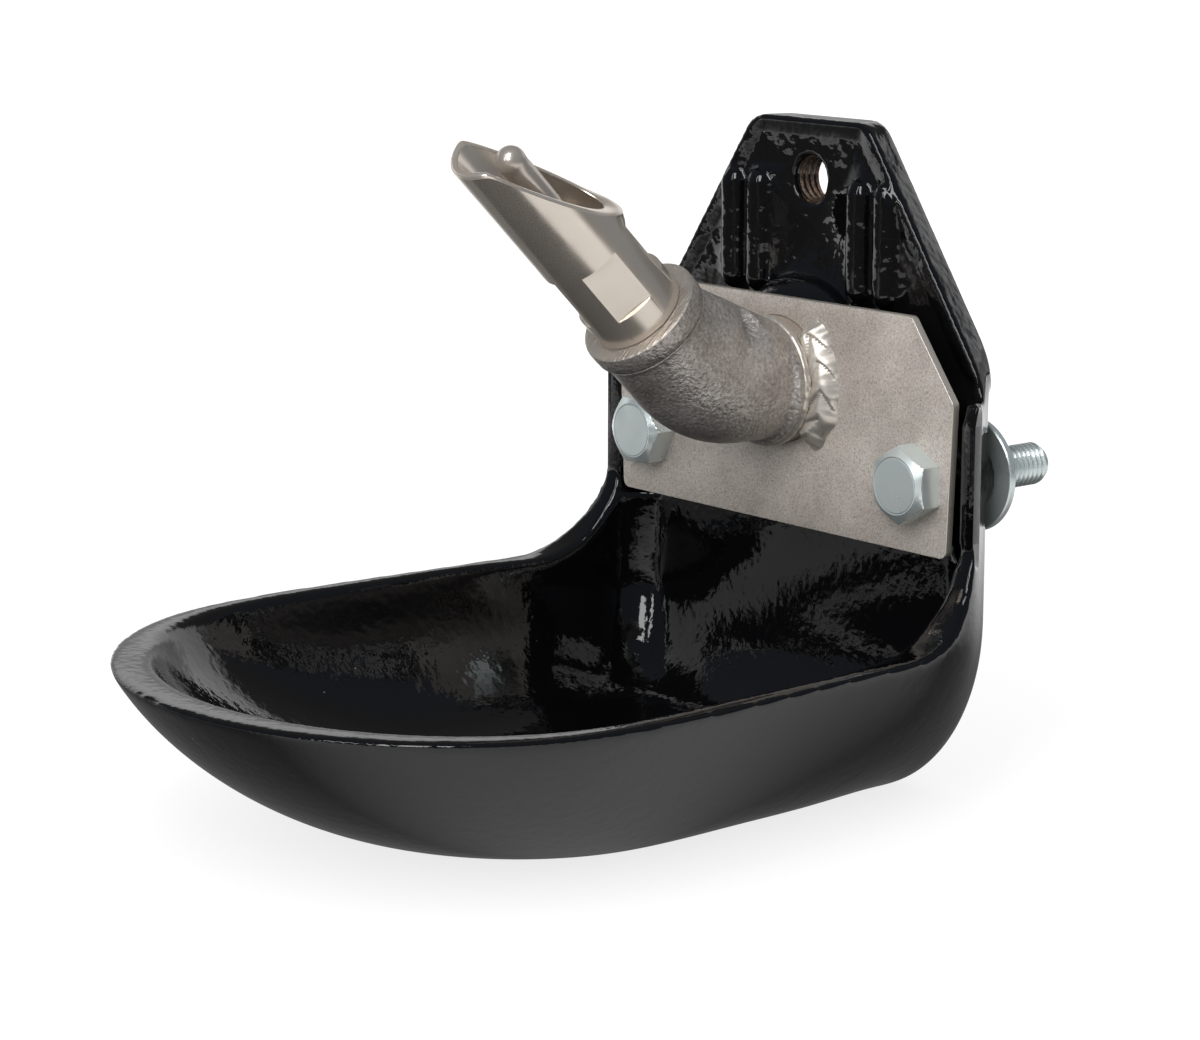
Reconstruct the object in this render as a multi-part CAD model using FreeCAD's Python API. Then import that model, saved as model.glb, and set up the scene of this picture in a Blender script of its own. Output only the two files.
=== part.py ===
import FreeCAD, Part
import math
import os

# Livestock drinking bowl: an enamelled cast-iron bowl with a house-shaped back,
# a stainless plate bolted inside its back, and a bite valve on a 45 degree elbow.
# Millimetres. +Z is up, the bowl reaches out along -Y, and +X is to its right
# seen from the front. The origin lies on the casting's flat back, half way
# between the two bolts.

# Casting: back and upright flange
FLANGE_THICKNESS = 9.0
FLANGE_TOP_Z = 79.5
FLANGE_TOP_HALF_WIDTH = 20.0
FLANGE_SLOPE_ANGLE = 34.6
FLANGE_DRAFT = 2.7
FLANGE_CORNER_RADIUS = 7.0
FLANGE_SHOULDER_RADIUS = 14.0
BORDER_WIDTH = 2.4
BORDER_HEIGHT = 1.1
HANGER_HOLE_Z = 65.0
HANGER_HOLE_RADIUS = 5.1
RIB_OFFSETS = (17.4, 26.4)
RIB_WIDTH = 6.4
RIB_HEIGHT = 3.0
RIB_TOP_Z = 66.0
RIB_BOTTOM_Z = 37.0

# Casting: bowl
RIM_Z = -33.5
BOTTOM_Z = -74.5
REACH = 189.5
RIM_HALF_WIDTH = 76.0
SIDE_DRAFT = 14.0
SIDE_ROUNDING = 28.0
FRONT_DRAFT = 22.0
FRONT_ROUNDING = 46.0
BACK_NARROWING = 24.0
FLOOR_THICKNESS = 7.0
SIDE_LAND = 6.0
FRONT_LAND = 13.0
LIP_SLOPE_WIDTH = 3.0
LIP_SLOPE_DEPTH = 5.0
BACK_ROUNDING = 12.0
BACK_CORNER_RADIUS = 8.0
CAVITY_BACK_ROUNDING = 20.0
CAVITY_CORNER_RADIUS = 12.0
OUTER_SPLAY_ANGLE = 34.0
OUTER_SWELL_SHARES = ((0.10, 0.60), (0.28, 0.87), (0.46, 0.97), (0.64, 1.0))
CAVITY_SPLAY_ANGLE = 0.0
CAVITY_SWELL_SHARES = ((0.28, 0.74), (0.46, 0.93), (0.64, 1.0))
PLATE_POCKET_CLEARANCE = 0.8
PLATE_SIDE_CLEARANCE = 1.5
SIDE_WALL_THICKNESS = 5.3
SIDE_WALL_FRONT_Y = -16.5
SIDE_WALL_TOP_Z = 20.5
RIM_SWEEP_RADIUS = 25.0

# Seats that carry the plate
PLATE_SEAT_Y = -15.5
INLET_CENTRE_Z = 18.2
INLET_SEAT_OUTER_RADIUS = 24.0
INLET_SEAT_FACE_RADIUS = 21.1
INLET_SEAT_STEP = 4.0
BOLT_BOSS_RADIUS = 9.0

# Stainless plate
PLATE_THICKNESS = 2.0
PLATE_BOTTOM_Z = -16.4
PLATE_SHOULDER_Z = 19.5
PLATE_TOP_Z = 38.0
PLATE_INSET_FROM_RIM = 17.5
PLATE_BOTTOM_TAPER = 1.5
PLATE_TOP_TAPER = 13.9
PLATE_CORNER_RADIUS = 2.0

# Bolts: M10 hexagon head screws, washers and low nuts
BOLT_EDGE_DISTANCE = 11.9
BOLT_RADIUS = 5.0
BOLT_LENGTH = 40.0
BOLT_HEAD_HEIGHT = 6.4
HEX_ACROSS_FLATS = 16.0
BOLT_END_CHAMFER = 1.0
HEX_CHAMFER = 0.8
BOLT_HOLE_RADIUS = 5.5
WASHER_RADIUS = 13.5
WASHER_HOLE_RADIUS = 5.25
WASHER_THICKNESS = 2.0
NUT_HEIGHT = 5.0
NUT_BORE_RADIUS = 5.05

# Water inlet socket, welded in the plate
SOCKET_RADIUS = 15.2
SOCKET_BORE_RADIUS = 9.3
SOCKET_LENGTH = 34.0
SOCKET_CLEARANCE = 0.8
PLATE_SOCKET_CLEARANCE = 0.05

# 45 degree elbow
ELBOW_ANGLE = 45.0
ELBOW_FIRST_LEG = 19.3
ELBOW_SECOND_LEG = 28.2
ELBOW_GAP_TO_PLATE = 4.2
ELBOW_BAND_RADIUS = 14.7
ELBOW_BAND_LENGTH = 5.0
ELBOW_BODY_RADIUS = 13.7
ELBOW_CROTCH_LENGTH = 8.0
ELBOW_COLLAR_LENGTH = 2.6
ELBOW_BORE_RADIUS = 9.0
ELBOW_THREAD_RADIUS = 10.4
ELBOW_THREAD_DEPTH = 13.0
ELBOW_BEND_RADIUS = 22.0

# Welds: a thin bead over the joint of elbow and socket, and two broad ones on the plate.
# Each section is given as shares of the weld's width and height.
ELBOW_BEAD_HEIGHT = 0.9
ELBOW_BEAD_WIDTH = 2.4
ELBOW_BEAD_SECTION = ((0.0, 0.0), (0.2, 0.75), (0.5, 1.0), (0.8, 0.75), (1.0, 0.0))
PLATE_WELD_WIDTH = 5.4
PLATE_WELD_HEIGHT = 2.9
PLATE_WELD_SECTION = ((0.0, 0.0), (1.0, 0.0), (0.94, 0.22), (0.25, 0.88), (0.0, 1.0))
PLATE_WELD_LOW_ANGLE = -48.0
PLATE_WELD_HIGH_ANGLE = 50.0

# Bite valve body; distances along its axis count from the elbow's face
VALVE_RADIUS = 11.3
VALVE_ACROSS_FLATS = 20.5
VALVE_TURN_ANGLE = 26.5
FLATS_START = 7.6
FLATS_LENGTH = 15.0
VALVE_TIP = 58.5
MOUTH_HEEL = 24.7
MOUTH_TOE_DEPTH = 5.35
MOUTH_RADIUS = 9.4
MOUTH_FLOOR = 19.0
SHANK_CLEARANCE = 0.08
SHANK_LENGTH = 12.0
CHAMBER_RADIUS = 8.0
SEAT_WEB = 3.0
SEAT_HOLE_RADIUS = 4.6

# Bite pin, its seal ring and closing spring
PIN_RADIUS = 3.0
PIN_BALL_RADIUS = 3.5
PIN_END = 51.5
PIN_FLANGE_RADIUS = 7.0
PIN_FLANGE_THICKNESS = 2.0
PIN_TAIL_RADIUS = 2.0
PIN_TAIL_LENGTH = 3.0
SEAL_THICKNESS = 2.2
SEAL_INNER_RADIUS = 4.7
SEAL_OUTER_RADIUS = 6.8
SPRING_WIRE_RADIUS = 0.5
SPRING_COIL_RADIUS = 3.4
SPRING_TURNS = 4.0
SPRING_END_CLEARANCE = 0.05

# Perforated spring carrier, flow disc and strainer inside the shank
CARRIER_FACE = 3.0
CARRIER_THICKNESS = 1.6
CARRIER_HOLE_RADIUS = 1.2
CARRIER_HOLE_CIRCLE = 5.4
CARRIER_HOLES = 6
FLOW_DISC_THICKNESS = 1.2
FLOW_DISC_HOLE_RADIUS = 1.4
FLOW_DISC_GAP = 2.4
STRAINER_WALL = 0.9
STRAINER_LENGTH = 6.6
STRAINER_HOLE_RADIUS = 1.0
STRAINER_HOLE_CIRCLE = 4.4
STRAINER_HOLES = 8
CHAMBER_FIT = 0.06

# How far the cutting blocks reach past the part
PAST = 20.0

Vector = FreeCAD.Vector
UP = Vector(0, 0, 1)
FORWARD = Vector(0, -1, 0)
BACKWARD = Vector(0, 1, 0)
PLATE_FRONT_Y = PLATE_SEAT_Y - PLATE_THICKNESS
INLET = Vector(0, 0, INLET_CENTRE_Z)

# Widths that follow from the rim: the plate, the recess round it, the walls outside that, and the bolts
PLATE_SHOULDER_HALF_WIDTH = RIM_HALF_WIDTH - PLATE_INSET_FROM_RIM
PLATE_BOTTOM_HALF_WIDTH = PLATE_SHOULDER_HALF_WIDTH - PLATE_BOTTOM_TAPER
PLATE_TOP_HALF_WIDTH = PLATE_SHOULDER_HALF_WIDTH - PLATE_TOP_TAPER
BOLT_HALF_SPACING = PLATE_SHOULDER_HALF_WIDTH - BOLT_EDGE_DISTANCE
CAVITY_BACK_HALF_WIDTH = PLATE_SHOULDER_HALF_WIDTH + PLATE_SIDE_CLEARANCE
SPLAY_RUN = math.tan(math.radians(OUTER_SPLAY_ANGLE))
BACK_HALF_WIDTH = CAVITY_BACK_HALF_WIDTH + SIDE_WALL_THICKNESS + PLATE_FRONT_Y * SPLAY_RUN
FLANGE_SIDE_HALF_WIDTH = BACK_HALF_WIDTH + FLANGE_THICKNESS * SPLAY_RUN
FLANGE_SLOPE_RUN = math.tan(math.radians(FLANGE_SLOPE_ANGLE))


def save(shape, node):
    """Write one sub-part under its node name."""
    if shape.ShapeType == "Compound" and len(shape.Solids) == 1:
        shape = shape.Solids[0]
    if not shape.isValid():
        raise ValueError(node + " is not a valid shape")
    shape.exportStep("parts/" + node + ".step")
    print(node, len(shape.Solids), round(shape.Volume, 1))


def cylinder(radius, start, end):
    """A round bar between two points."""
    run = end.sub(start)
    return Part.makeCylinder(radius, run.Length, start, run)


def turned(profile, start, direction):
    """A solid turned from (along, radius) points about an axis from start."""
    points = [Vector(radius, 0, along) for along, radius in profile]
    face = Part.Face(Part.makePolygon(points + [points[0]]))
    solid = face.revolve(Vector(0, 0, 0), UP, 360)
    solid = Part.Solid(solid.Shells[0]) if solid.ShapeType != "Solid" else solid
    solid.Placement = FreeCAD.Placement(start, FreeCAD.Rotation(UP, direction))
    return solid


def hexagon(across_flats, height, start, direction, chamfer):
    """A hexagonal block with a corner upwards and its end face chamfered."""
    corner = across_flats / math.sqrt(3.0)
    points = []
    for index in range(7):
        angle = math.radians(60.0 * index + 30.0)
        points.append(Vector(corner * math.cos(angle), corner * math.sin(angle), 0))
    block = Part.Face(Part.makePolygon(points)).extrude(Vector(0, 0, height))
    cone = turned(
        [(0, 0), (0, corner + 1), (height - chamfer, corner), (height, across_flats / 2 - 0.4), (height, 0)],
        Vector(0, 0, 0),
        UP,
    )
    block = block.common(cone)
    block.Placement = FreeCAD.Placement(start, FreeCAD.Rotation(UP, direction))
    return block


def prism(points, depth_from, depth_to):
    """A shape drawn in X and Z and extruded from one Y to another."""
    corners = [Vector(x, depth_from, z) for x, z in points]
    face = Part.Face(Part.makePolygon(corners + [corners[0]]))
    return face.extrude(Vector(0, depth_to - depth_from, 0))


def rounded_upright_edges(solid, radius, z_low, z_high):
    """Round the edges along Y whose height lies between two limits."""
    edges = []
    for edge in solid.Edges:
        low, high = edge.BoundBox.ZMin, edge.BoundBox.ZMax
        along_y = edge.BoundBox.YLength > 0.9 * solid.BoundBox.YLength
        if along_y and low > z_low and high < z_high:
            edges.append(edge)
    return solid.makeFillet(radius, edges)


def plan_outline(form, z, half_width, front_y, back_y, back_half_width):
    """The bowl's outline at one height: a flat back, round corners, swelling sides and an elliptical front."""
    corner, splay, swells = form
    splay = math.radians(splay)
    length = back_y - front_y
    aside = Vector(math.sin(splay), -math.cos(splay), 0)
    trim = corner * math.tan((math.pi / 2 - splay) / 2)
    edge = Vector(back_half_width, back_y, z)
    flat_end = edge - Vector(trim, 0, 0)
    side_start = edge + aside * trim
    half_turn = (math.pi / 2 - splay) / 2
    centre = flat_end + Vector(0, -corner, 0)
    middle = centre + Vector(corner * math.sin(half_turn), corner * math.cos(half_turn), 0)
    right = [side_start]
    for share, swell in swells:
        x = back_half_width + swell * (half_width - back_half_width)
        right.append(Vector(x, back_y - share * length, z))
    widest_y = right[-1].y
    for degrees in (16.0, 38.0, 62.0):
        angle = math.radians(degrees)
        y = widest_y + (front_y - widest_y) * math.sin(angle)
        right.append(Vector(half_width * math.cos(angle), y, z))
    left = [Vector(-point.x, point.y, z) for point in reversed(right)]
    curve = Part.BSplineCurve()
    curve.interpolate(
        Points=right + [Vector(0, front_y, z)] + left,
        InitialTangent=aside,
        FinalTangent=Vector(aside.x, -aside.y, 0),
        Scale=False,
    )
    mirrored = [Vector(-point.x, point.y, z) for point in (side_start, middle, flat_end)]
    return Part.Wire([
        curve.toShape(),
        Part.Arc(*mirrored).toShape(),
        Part.LineSegment(mirrored[2], flat_end).toShape(),
        Part.Arc(flat_end, middle, side_start).toShape(),
    ])


def dished_form(form, rim_z, floor_z, half_width, reach, back_y, back_half_width, back_rounding):
    """A rounded bowl form between its floor and a level rim."""
    sections = []
    for degrees in (90.0, 70.0, 50.0, 25.0, 0.0):
        angle = math.radians(degrees)
        drop = math.sin(angle)
        bulge = 1.0 - math.cos(angle)
        sections.append(plan_outline(
            form,
            rim_z - (rim_z - floor_z) * drop,
            half_width - SIDE_DRAFT * drop - SIDE_ROUNDING * bulge,
            -(reach - FRONT_DRAFT * drop - FRONT_ROUNDING * bulge),
            back_y - back_rounding * bulge,
            back_half_width - BACK_NARROWING * bulge,
        ))
    return Part.makeLoft(sections, True, False)


def column(form, z_low, z_high, half_width, reach, back_y, back_half_width):
    """A straight-sided block on the same outline."""
    outline = plan_outline(form, z_low, half_width, -reach, back_y, back_half_width)
    return Part.Face(outline).extrude(Vector(0, 0, z_high - z_low))


def cavity_forms():
    """What is hollowed out of the bowl: its dish, the sloping lip, the back and the plate's recess."""
    form = (CAVITY_CORNER_RADIUS, CAVITY_SPLAY_ANGLE, CAVITY_SWELL_SHARES)
    back_y = -FLANGE_THICKNESS
    back = (back_y, CAVITY_BACK_HALF_WIDTH)
    reach = REACH - FRONT_LAND
    half_width = RIM_HALF_WIDTH - SIDE_LAND - LIP_SLOPE_WIDTH
    lip_z = RIM_Z - LIP_SLOPE_DEPTH
    dish = dished_form(form, lip_z, BOTTOM_Z + FLOOR_THICKNESS, half_width, reach, *back, CAVITY_BACK_ROUNDING)
    low = plan_outline(form, lip_z, half_width, -reach, *back)
    half_width = half_width + LIP_SLOPE_WIDTH
    reach = reach + LIP_SLOPE_WIDTH
    high = plan_outline(form, RIM_Z, half_width, -reach, *back)
    lip = Part.makeLoft([low, high], True, True)
    pocket_z = PLATE_BOTTOM_Z - PLATE_POCKET_CLEARANCE
    upper = column(form, RIM_Z, pocket_z, half_width, reach, *back)
    square = (PLATE_CORNER_RADIUS / 2, CAVITY_SPLAY_ANGLE, CAVITY_SWELL_SHARES)
    pocket = column(square, pocket_z, FLANGE_TOP_Z + PAST, half_width, reach, *back)
    return [dish, lip, upper, pocket]


def side_profile():
    """What is kept of the bowl form, seen from the side: level rim, sweep and upright wall."""
    far = REACH + PAST
    low = BOTTOM_Z - PAST
    sweep_y = SIDE_WALL_FRONT_Y - RIM_SWEEP_RADIUS
    sweep_z = RIM_Z + RIM_SWEEP_RADIUS
    middle = math.radians(45.0)
    bend = Part.Arc(
        Vector(0, sweep_y, RIM_Z),
        Vector(0, sweep_y + RIM_SWEEP_RADIUS * math.sin(middle), sweep_z - RIM_SWEEP_RADIUS * math.cos(middle)),
        Vector(0, SIDE_WALL_FRONT_Y, sweep_z),
    ).toShape()
    corners = [
        Vector(0, SIDE_WALL_FRONT_Y, sweep_z),
        Vector(0, SIDE_WALL_FRONT_Y, SIDE_WALL_TOP_Z),
        Vector(0, 0, SIDE_WALL_TOP_Z),
        Vector(0, 0, low),
        Vector(0, -far, low),
        Vector(0, -far, RIM_Z),
        Vector(0, sweep_y, RIM_Z),
    ]
    edges = [Part.LineSegment(a, b).toShape() for a, b in zip(corners[:-1], corners[1:])]
    face = Part.Face(Part.Wire([bend] + edges))
    face.translate(Vector(-RIM_HALF_WIDTH - PAST, 0, 0))
    return face.extrude(Vector(2 * (RIM_HALF_WIDTH + PAST), 0, 0))


def shoulder_z(top, side):
    """Where a slope that starts at the top's half-width meets the upright side."""
    return FLANGE_TOP_Z - (side - top) / FLANGE_SLOPE_RUN


def house_points(top, side, inset=0.0):
    """A six-sided outline with a flat top and sloping shoulders, moved inwards by an inset."""
    shoulder = shoulder_z(top, side)
    slope_run = side - top
    slope_rise = FLANGE_TOP_Z - shoulder
    slope_length = math.hypot(slope_run, slope_rise)
    top = top - inset * (slope_length - slope_run) / slope_rise
    shoulder = shoulder - inset * (slope_length - slope_rise) / slope_run
    side = side - inset
    return [
        (side, RIM_Z),
        (side, shoulder),
        (top, FLANGE_TOP_Z - inset),
        (-top, FLANGE_TOP_Z - inset),
        (-side, shoulder),
        (-side, RIM_Z),
    ]


def flange_front_points(inset):
    """The outline of the flange's front, moved inwards by an inset."""
    return house_points(FLANGE_TOP_HALF_WIDTH, FLANGE_SIDE_HALF_WIDTH, inset)


def closed_wire(points, y):
    """A closed outline at one depth."""
    corners = [Vector(x, y, z) for x, z in points]
    return Part.makePolygon(corners + [corners[0]])


def upright_flange():
    """The flange, a little narrower at its back, with a raised border round its face."""
    back_top = FLANGE_TOP_HALF_WIDTH - FLANGE_DRAFT
    back = house_points(back_top, BACK_HALF_WIDTH)
    wires = [closed_wire(back, 0), closed_wire(flange_front_points(0), -FLANGE_THICKNESS)]
    flange = Part.makeLoft(wires, True, True)
    top = [edge for edge in flange.Edges if edge.BoundBox.YLength > 1 and edge.BoundBox.ZMax > FLANGE_TOP_Z - 1]
    flange = flange.makeFillet(FLANGE_CORNER_RADIUS, top)
    heights = [shoulder_z(FLANGE_TOP_HALF_WIDTH, FLANGE_SIDE_HALF_WIDTH), shoulder_z(back_top, BACK_HALF_WIDTH)]
    low = min(heights) - 1
    high = max(heights) + 1
    shoulders = []
    for edge in flange.Edges:
        box = edge.BoundBox
        if box.YLength > 0.9 * FLANGE_THICKNESS and box.ZMin > low and box.ZMax < high:
            shoulders.append(edge)
    flange = flange.makeFillet(FLANGE_SHOULDER_RADIUS, shoulders)
    face_y = -(FLANGE_THICKNESS - BORDER_HEIGHT)
    recess = prism(flange_front_points(BORDER_WIDTH), -FLANGE_THICKNESS - 1, face_y)
    corner = FLANGE_CORNER_RADIUS - BORDER_WIDTH
    recess = rounded_upright_edges(recess, corner, FLANGE_TOP_Z - BORDER_WIDTH - 1, FLANGE_TOP_Z + 1)
    below = Part.makeBox(
        4 * BACK_HALF_WIDTH,
        4 * FLANGE_THICKNESS,
        2 * FLANGE_TOP_Z,
        Vector(-2 * BACK_HALF_WIDTH, -2 * FLANGE_THICKNESS, SIDE_WALL_TOP_Z - 2 * FLANGE_TOP_Z),
    )
    return flange.cut([recess, below])


def raised_rib(x):
    """One round-nosed rib on the flange's face."""
    face_y = -(FLANGE_THICKNESS - BORDER_HEIGHT)
    half = RIB_WIDTH / 2.0
    reach = RIB_HEIGHT - half
    nose_y = face_y - reach
    low = Vector(x, nose_y, RIB_BOTTOM_Z + half)
    high = Vector(x, nose_y, RIB_TOP_Z - half)
    bar = cylinder(half, low, high)
    rib = bar.fuse([Part.makeSphere(half, low), Part.makeSphere(half, high)])
    foot = Part.makeBox(RIB_WIDTH, reach + 2.0, high.z - low.z, Vector(x - half, nose_y, low.z))
    return rib.fuse([foot, cylinder(half, low, low + BACKWARD * (reach + 2.0)),
                     cylinder(half, high, high + BACKWARD * (reach + 2.0))])


def bowl_casting():
    """The enamelled casting: bowl, side walls, upright flange, ribs and seats."""
    form = (BACK_CORNER_RADIUS, OUTER_SPLAY_ANGLE, OUTER_SWELL_SHARES)
    dish = dished_form(form, RIM_Z, BOTTOM_Z, RIM_HALF_WIDTH, REACH, 0, BACK_HALF_WIDTH, BACK_ROUNDING)
    walls = column(form, RIM_Z, FLANGE_TOP_Z, RIM_HALF_WIDTH, REACH, 0, BACK_HALF_WIDTH)
    casting = dish.fuse(walls).common(side_profile())
    for form in cavity_forms():
        casting = casting.cut(form)
    casting = casting.fuse(upright_flange())

    features = [raised_rib(side * offset) for side in (-1, 1) for offset in RIB_OFFSETS]
    hole_radius = SOCKET_RADIUS + SOCKET_CLEARANCE
    ridge = turned(
        [
            (0, hole_radius),
            (0, INLET_SEAT_OUTER_RADIUS),
            (-PLATE_SEAT_Y - INLET_SEAT_STEP, INLET_SEAT_OUTER_RADIUS),
            (-PLATE_SEAT_Y, INLET_SEAT_FACE_RADIUS),
            (-PLATE_SEAT_Y, hole_radius),
        ],
        INLET,
        FORWARD,
    )
    features.append(ridge)
    for side in (-1, 1):
        base = Vector(side * BOLT_HALF_SPACING, 0, 0)
        features.append(cylinder(BOLT_BOSS_RADIUS, base, base + FORWARD * -PLATE_SEAT_Y))
    casting = casting.fuse(features)

    holes = [cylinder(SOCKET_RADIUS + SOCKET_CLEARANCE, INLET + BACKWARD, INLET + FORWARD * 2 * PAST)]
    top_hole = Vector(0, 0, HANGER_HOLE_Z)
    holes.append(cylinder(HANGER_HOLE_RADIUS, top_hole + BACKWARD, top_hole + FORWARD * 2 * PAST))
    for side in (-1, 1):
        base = Vector(side * BOLT_HALF_SPACING, 0, 0)
        holes.append(cylinder(BOLT_HOLE_RADIUS, base + BACKWARD, base + FORWARD * 2 * PAST))
    for hole in holes:
        casting = casting.cut(hole)
    return casting.removeSplitter()


def mounting_plate():
    """The six-sided stainless plate with its bolt holes and the hole for the socket."""
    outline = [
        (PLATE_BOTTOM_HALF_WIDTH, PLATE_BOTTOM_Z),
        (PLATE_SHOULDER_HALF_WIDTH, PLATE_SHOULDER_Z),
        (PLATE_TOP_HALF_WIDTH, PLATE_TOP_Z),
    ]
    points = outline + [(-x, z) for x, z in reversed(outline)]
    plate = prism(points, PLATE_SEAT_Y, PLATE_FRONT_Y)
    plate = rounded_upright_edges(plate, PLATE_CORNER_RADIUS, PLATE_BOTTOM_Z - 1, PLATE_TOP_Z + 1)
    radius = SOCKET_RADIUS + PLATE_SOCKET_CLEARANCE
    plate = plate.cut(cylinder(radius, INLET, INLET + FORWARD * 2 * PAST))
    for side in (-1, 1):
        base = Vector(side * BOLT_HALF_SPACING, 0, 0)
        plate = plate.cut(cylinder(BOLT_HOLE_RADIUS, base, base + FORWARD * 2 * PAST))
    return plate


def inlet_socket():
    """The half-inch socket that passes through plate and casting; the supply pipe screws in behind."""
    start = elbow_start()
    end = start + BACKWARD * SOCKET_LENGTH
    return cylinder(SOCKET_RADIUS, start, end).cut(cylinder(SOCKET_BORE_RADIUS, start, end))


def elbow_start():
    """The middle of the elbow's first face, where it meets the socket."""
    return INLET + FORWARD * (ELBOW_GAP_TO_PLATE - PLATE_FRONT_Y)


def valve_direction():
    """The valve's axis, out of the elbow's second face."""
    angle = math.radians(ELBOW_ANGLE)
    return Vector(0, -math.cos(angle), math.sin(angle))


def elbow_bend():
    """The point where the elbow's two centre lines meet."""
    return elbow_start() + FORWARD * ELBOW_FIRST_LEG


def valve_point(along):
    """A point on the valve's axis, measured out from the elbow's second face."""
    return elbow_bend() + valve_direction() * (ELBOW_SECOND_LEG + along)


def bent_bar(radius):
    """A round bar that follows the elbow's centre line."""
    tangent = ELBOW_BEND_RADIUS * math.tan(math.radians(ELBOW_ANGLE / 2))
    arc_start = elbow_bend() + BACKWARD * tangent
    circle = Part.Wire(Part.makeCircle(radius, arc_start, FORWARD))
    centre = arc_start + UP * ELBOW_BEND_RADIUS
    curve = Part.Face(circle).revolve(centre, Vector(-1, 0, 0), ELBOW_ANGLE)
    arc_end = elbow_bend() + valve_direction() * tangent
    return curve.fuse([
        cylinder(radius, elbow_start(), arc_start),
        cylinder(radius, arc_end, valve_point(0)),
    ])


def crotch_bar():
    """The straight bar that fills the elbow's inner side."""
    start = elbow_start()
    bar = cylinder(ELBOW_BODY_RADIUS, start, valve_point(-ELBOW_CROTCH_LENGTH))
    return bar.cut(cylinder(2 * ELBOW_BODY_RADIUS, start, start + BACKWARD * PAST))


def pipe_elbow():
    """The cast 45 degree elbow: inner side filled out straight, a collar at the socket, a band at its mouth."""
    start = elbow_start()
    body = bent_bar(ELBOW_BODY_RADIUS)
    body = body.fuse([
        crotch_bar(),
        cylinder(SOCKET_RADIUS, start, start + FORWARD * ELBOW_COLLAR_LENGTH),
        cylinder(ELBOW_BAND_RADIUS, valve_point(-ELBOW_BAND_LENGTH), valve_point(0)),
    ])
    thread = cylinder(ELBOW_THREAD_RADIUS, valve_point(-ELBOW_THREAD_DEPTH), valve_point(1))
    return body.cut(bent_bar(ELBOW_BORE_RADIUS)).cut(thread).removeSplitter()


def elbow_bead():
    """The thin weld bead over the joint of elbow and socket."""
    profile = []
    for across, height in ELBOW_BEAD_SECTION:
        profile.append(((across - 0.5) * ELBOW_BEAD_WIDTH, SOCKET_RADIUS + height * ELBOW_BEAD_HEIGHT))
    return turned(profile, elbow_start(), FORWARD).cut(crotch_bar())


def plate_weld(side):
    """The broad fillet weld between socket and plate on one side."""
    points = []
    for across, height in PLATE_WELD_SECTION:
        radius = SOCKET_RADIUS + across * PLATE_WELD_WIDTH
        points.append(Vector(radius, PLATE_FRONT_Y - height * PLATE_WELD_HEIGHT, INLET_CENTRE_Z))
    face = Part.Face(Part.makePolygon(points + [points[0]]))
    face.rotate(INLET, FORWARD, PLATE_WELD_LOW_ANGLE)
    weld = face.revolve(INLET, FORWARD, PLATE_WELD_HIGH_ANGLE - PLATE_WELD_LOW_ANGLE)
    return weld if side > 0 else weld.mirror(Vector(0, 0, 0), Vector(1, 0, 0))


def valve_placement():
    """The valve's own frame: +Z out along its axis, +Y to the side its mouth opens to."""
    turn = FreeCAD.Rotation(UP, -VALVE_TURN_ANGLE)
    return FreeCAD.Placement(valve_point(0), FreeCAD.Rotation(UP, valve_direction()).multiply(turn))


def valve_body():
    """The bite valve's body: threaded shank, wrench flats, and a tube cut open along one side."""
    origin = Vector(0, 0, 0)
    shank = ELBOW_THREAD_RADIUS - SHANK_CLEARANCE
    outside = [
        (-SHANK_LENGTH, 0),
        (-SHANK_LENGTH, shank),
        (0, shank),
        (0, VALVE_RADIUS),
        (VALVE_TIP, VALVE_RADIUS),
        (VALVE_TIP, 0),
    ]
    chamber_end = MOUTH_FLOOR - SEAT_WEB
    bores = [
        Part.makeCylinder(MOUTH_RADIUS, VALVE_TIP, Vector(0, 0, MOUTH_FLOOR)),
        Part.makeCylinder(CHAMBER_RADIUS, chamber_end + 2 * SHANK_LENGTH, Vector(0, 0, -2 * SHANK_LENGTH)),
        Part.makeCylinder(SEAT_HOLE_RADIUS, MOUTH_FLOOR),
    ]
    body = turned(outside, origin, UP)
    for cutter in bores + [flat_cutter(quarter) for quarter in range(4)] + [mouth_cutter()]:
        body = body.cut(cutter)
    body.Placement = valve_placement().multiply(body.Placement)
    return body


def flat_cutter(quarter):
    """The block that mills one of four wrench flats."""
    block = Part.makeBox(
        2 * VALVE_RADIUS,
        VALVE_RADIUS,
        FLATS_LENGTH,
        Vector(-VALVE_RADIUS, VALVE_ACROSS_FLATS / 2, FLATS_START),
    )
    block.rotate(Vector(0, 0, 0), UP, 90 * quarter)
    return block


def mouth_cutter():
    """The wedge above the oblique mouth, from its heel to the tip."""
    points = [
        Vector(-PAST, VALVE_RADIUS, MOUTH_HEEL),
        Vector(-PAST, -MOUTH_TOE_DEPTH, VALVE_TIP),
        Vector(-PAST, -MOUTH_TOE_DEPTH, VALVE_TIP + PAST),
        Vector(-PAST, 2 * PAST, VALVE_TIP + PAST),
        Vector(-PAST, 2 * PAST, MOUTH_HEEL),
    ]
    return Part.Face(Part.makePolygon(points + [points[0]])).extrude(Vector(2 * PAST, 0, 0))


def seal_plane():
    """How far out the pin's flange meets the seal ring; the pin tilts about this point."""
    return MOUTH_FLOOR - SEAT_WEB - SEAL_THICKNESS


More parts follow.
